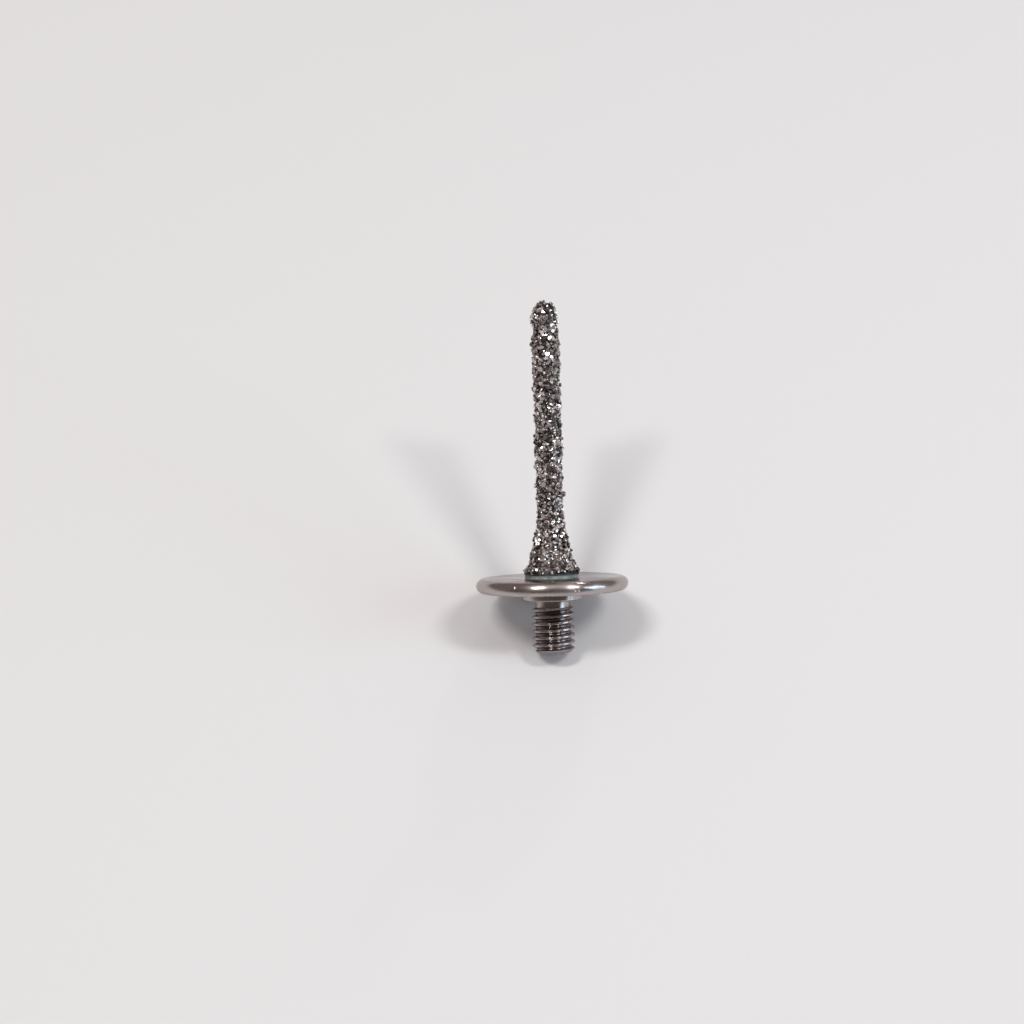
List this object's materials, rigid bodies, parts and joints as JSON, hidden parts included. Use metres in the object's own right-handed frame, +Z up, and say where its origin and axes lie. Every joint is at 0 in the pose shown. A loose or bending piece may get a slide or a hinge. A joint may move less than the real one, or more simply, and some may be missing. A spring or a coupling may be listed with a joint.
{
  "type": "diastema bur",
  "caption": "Equine dental diastema bur: slender diamond-grit spindle with a flared foot, round-edged stop disc and threaded shank for a handpiece.",
  "frame": {"origin": "on the ground, at the bottom centre of the bur's box as it lies", "axes": "+Z up; the bur's own axis lies in the YZ plane, its tip towards +Y and up at about 42 degrees; +X runs across the disc"},
  "size_m": [0.0214, 0.0392, 0.0358],
  "materials": {
    "steel": "polished stainless steel with fine turning marks",
    "diamond_grit": "coarse angular diamond grains in a dark metal bond, glittering",
    "lacquer": "thin grey-green stop-off lacquer with an uneven edge"
  },
  "bodies": {
    "root": {"steel_blank": "steel", "diamond_coat": "diamond_grit", "base_band": "lacquer"}
  },
  "joints": []
}
